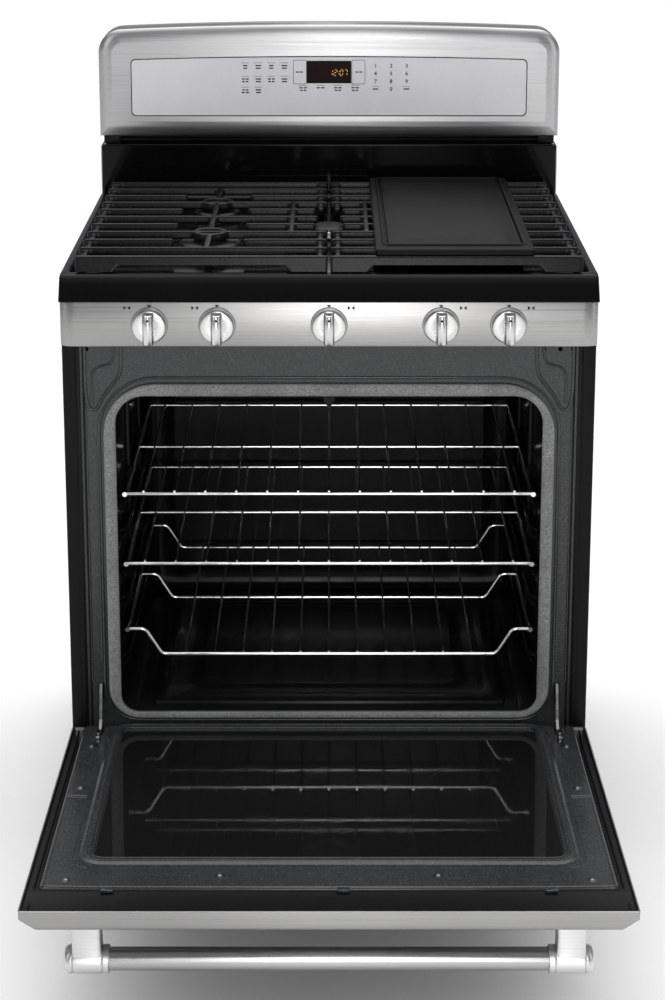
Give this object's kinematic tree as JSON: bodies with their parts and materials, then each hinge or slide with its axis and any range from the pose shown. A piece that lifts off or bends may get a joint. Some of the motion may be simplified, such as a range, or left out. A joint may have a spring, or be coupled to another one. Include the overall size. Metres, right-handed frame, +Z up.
{
  "type": "freestanding gas range",
  "caption": "Floor-standing gas cooker with gas rings, cast grates and griddle on top, an oven with sliding racks behind a drop-down window door, a storage drawer and a rear control console.",
  "frame": {"origin": "middle of the footprint on the floor, with the oven door open", "axes": "+Z up, +Y from the cook towards the wall, +X to the cook's right"},
  "size_m": [0.758, 1.2602, 1.192],
  "materials": {
    "enamel_gray": "speckled porcelain enamel",
    "enamel_black": "gloss porcelain enamel",
    "black_paint": "satin baked paint",
    "stainless": "horizontally brushed",
    "silver_console": "fine brushed",
    "overlay_film": "satin silver film",
    "display_pane": "dark gloss",
    "cast_iron": "matt enamelled casting",
    "griddle_coat": "non-stick coating",
    "chrome_wire": "bright",
    "hinge_steel": "plain bright steel",
    "galvanised": "galvanised sheet",
    "aluminium_cast": "as cast",
    "brass_fitting": "machined",
    "window_glass": "tinted tempered glass",
    "gasket_weave": "woven glass-fibre braid",
    "ceramic_white": "glazed ceramic insulator",
    "foot_plastic": "moulded foot"
  },
  "bodies": {
    "cabinet": {"base_frame": "galvanised", "leveling_legs": "foot_plastic", "side_panel_left": "black_paint", "side_panel_right": "black_paint", "rear_panel": "galvanised", "oven_front_frame": "enamel_gray", "oven_gasket": "gasket_weave", "oven_liner": "enamel_black", "oven_floor": "enamel_black", "bake_burner": "hinge_steel", "broil_burner": "hinge_steel", "fan_cover": "enamel_black", "fan_motor": "galvanised", "cooktop": "enamel_black", "control_panel": "stainless", "gas_manifold": "galvanised", "gas_valves": "brass_fitting", "gas_regulator": "aluminium_cast", "burner_bases": "aluminium_cast", "igniters": "ceramic_white", "backguard_shell": "silver_console", "backguard_rear_cover": "galvanised", "backsplash": "enamel_black", "control_overlay": "overlay_film", "display_window": "display_pane", "hinge_receivers": "galvanised", "hinge_arms": "hinge_steel", "drawer_rails": "galvanised"},
    "fan": {"convection_fan": "hinge_steel"},
    "left_grate": {"grate_left": "cast_iron"},
    "right_grate": {"grate_right": "cast_iron"},
    "griddle": {"griddle": "griddle_coat"},
    "upper_rack": {"oven_rack_upper": "chrome_wire"},
    "middle_rack": {"oven_rack_middle": "chrome_wire"},
    "lower_rack": {"oven_rack_lower": "chrome_wire"},
    "door": {"door_skin": "stainless", "door_liner": "enamel_gray", "door_glass_outer": "window_glass", "door_glass_inner": "window_glass", "door_hinge_channels": "galvanised", "door_handle_bar": "stainless", "door_handle_brackets": "stainless", "door_screws": "hinge_steel"},
    "drawer": {"drawer_front": "stainless", "drawer_pan": "galvanised"},
    "spindle_1": {"knob_spindle_1": "hinge_steel"},
    "knob_1": {"knob_1": "stainless"},
    "spindle_2": {"knob_spindle_2": "hinge_steel"},
    "knob_2": {"knob_2": "stainless"},
    "spindle_3": {"knob_spindle_3": "hinge_steel"},
    "knob_3": {"knob_3": "stainless"},
    "spindle_4": {"knob_spindle_4": "hinge_steel"},
    "knob_4": {"knob_4": "stainless"},
    "spindle_5": {"knob_spindle_5": "hinge_steel"},
    "knob_5": {"knob_5": "stainless"},
    "cap_front_left": {"burner_cap_front_left": "cast_iron"},
    "cap_rear_left": {"burner_cap_rear_left": "cast_iron"},
    "cap_center": {"burner_cap_center": "cast_iron"},
    "cap_front_right": {"burner_cap_front_right": "cast_iron"},
    "cap_rear_right": {"burner_cap_rear_right": "cast_iron"}
  },
  "joints": [
    {"name": "door_hinge", "type": "hinge", "parent": "cabinet", "child": "door", "pos_m": [0, -0.0519, 0.219], "axis": [-1, 0, 0], "range_deg": [0, 87.3]},
    {"name": "drawer_slide", "type": "slide", "parent": "cabinet", "child": "drawer", "axis": [0, -1, 0], "range_m": [0, 0.4]},
    {"name": "fan_spin", "type": "hinge", "parent": "cabinet", "child": "fan", "pos_m": [0, 0.4491, 0.655], "axis": [0, -1, 0], "continuous": true},
    {"name": "left_grate_lift", "type": "slide", "parent": "cabinet", "child": "left_grate", "axis": [0, 0, 1], "range_m": [0, 0.12]},
    {"name": "right_grate_lift", "type": "slide", "parent": "cabinet", "child": "right_grate", "axis": [0, 0, 1], "range_m": [0, 0.12]},
    {"name": "griddle_lift", "type": "slide", "parent": "right_grate", "child": "griddle", "axis": [0, 0, 1], "range_m": [0, 0.12]},
    {"name": "upper_rack_slide", "type": "slide", "parent": "cabinet", "child": "upper_rack", "axis": [0, 1, 0], "range_m": [-0.35, 0]},
    {"name": "middle_rack_slide", "type": "slide", "parent": "cabinet", "child": "middle_rack", "axis": [0, 1, 0], "range_m": [-0.35, 0]},
    {"name": "lower_rack_slide", "type": "slide", "parent": "cabinet", "child": "lower_rack", "axis": [0, 1, 0], "range_m": [-0.35, 0]},
    {"name": "knob_1_push", "type": "slide", "parent": "cabinet", "child": "spindle_1", "axis": [0, 1, 0], "range_m": [0, 0.003], "stiffness_N_per_m": 900, "springref_m": -0.002},
    {"name": "knob_1_turn", "type": "hinge", "parent": "spindle_1", "child": "knob_1", "pos_m": [-0.252, -0.0699, 0.845], "axis": [0, -1, 0], "range_deg": [0, 220]},
    {"name": "knob_2_push", "type": "slide", "parent": "cabinet", "child": "spindle_2", "axis": [0, 1, 0], "range_m": [0, 0.003], "stiffness_N_per_m": 900, "springref_m": -0.002},
    {"name": "knob_2_turn", "type": "hinge", "parent": "spindle_2", "child": "knob_2", "pos_m": [-0.157, -0.0699, 0.845], "axis": [0, -1, 0], "range_deg": [0, 220]},
    {"name": "knob_3_push", "type": "slide", "parent": "cabinet", "child": "spindle_3", "axis": [0, 1, 0], "range_m": [0, 0.003], "stiffness_N_per_m": 900, "springref_m": -0.002},
    {"name": "knob_3_turn", "type": "hinge", "parent": "spindle_3", "child": "knob_3", "pos_m": [0, -0.0699, 0.845], "axis": [0, -1, 0], "range_deg": [0, 220]},
    {"name": "knob_4_push", "type": "slide", "parent": "cabinet", "child": "spindle_4", "axis": [0, 1, 0], "range_m": [0, 0.003], "stiffness_N_per_m": 900, "springref_m": -0.002},
    {"name": "knob_4_turn", "type": "hinge", "parent": "spindle_4", "child": "knob_4", "pos_m": [0.157, -0.0699, 0.845], "axis": [0, -1, 0], "range_deg": [0, 220]},
    {"name": "knob_5_push", "type": "slide", "parent": "cabinet", "child": "spindle_5", "axis": [0, 1, 0], "range_m": [0, 0.003], "stiffness_N_per_m": 900, "springref_m": -0.002},
    {"name": "knob_5_turn", "type": "hinge", "parent": "spindle_5", "child": "knob_5", "pos_m": [0.252, -0.0699, 0.845], "axis": [0, -1, 0], "range_deg": [0, 220]},
    {"name": "cap_front_left_lift", "type": "slide", "parent": "cabinet", "child": "cap_front_left", "axis": [0, 0, 1], "range_m": [0, 0.002]},
    {"name": "cap_rear_left_lift", "type": "slide", "parent": "cabinet", "child": "cap_rear_left", "axis": [0, 0, 1], "range_m": [0, 0.002]},
    {"name": "cap_center_lift", "type": "slide", "parent": "cabinet", "child": "cap_center", "axis": [0, 0, 1], "range_m": [0, 0.002]},
    {"name": "cap_front_right_lift", "type": "slide", "parent": "cabinet", "child": "cap_front_right", "axis": [0, 0, 1], "range_m": [0, 0.002]},
    {"name": "cap_rear_right_lift", "type": "slide", "parent": "cabinet", "child": "cap_rear_right", "axis": [0, 0, 1], "range_m": [0, 0.002]}
  ]
}
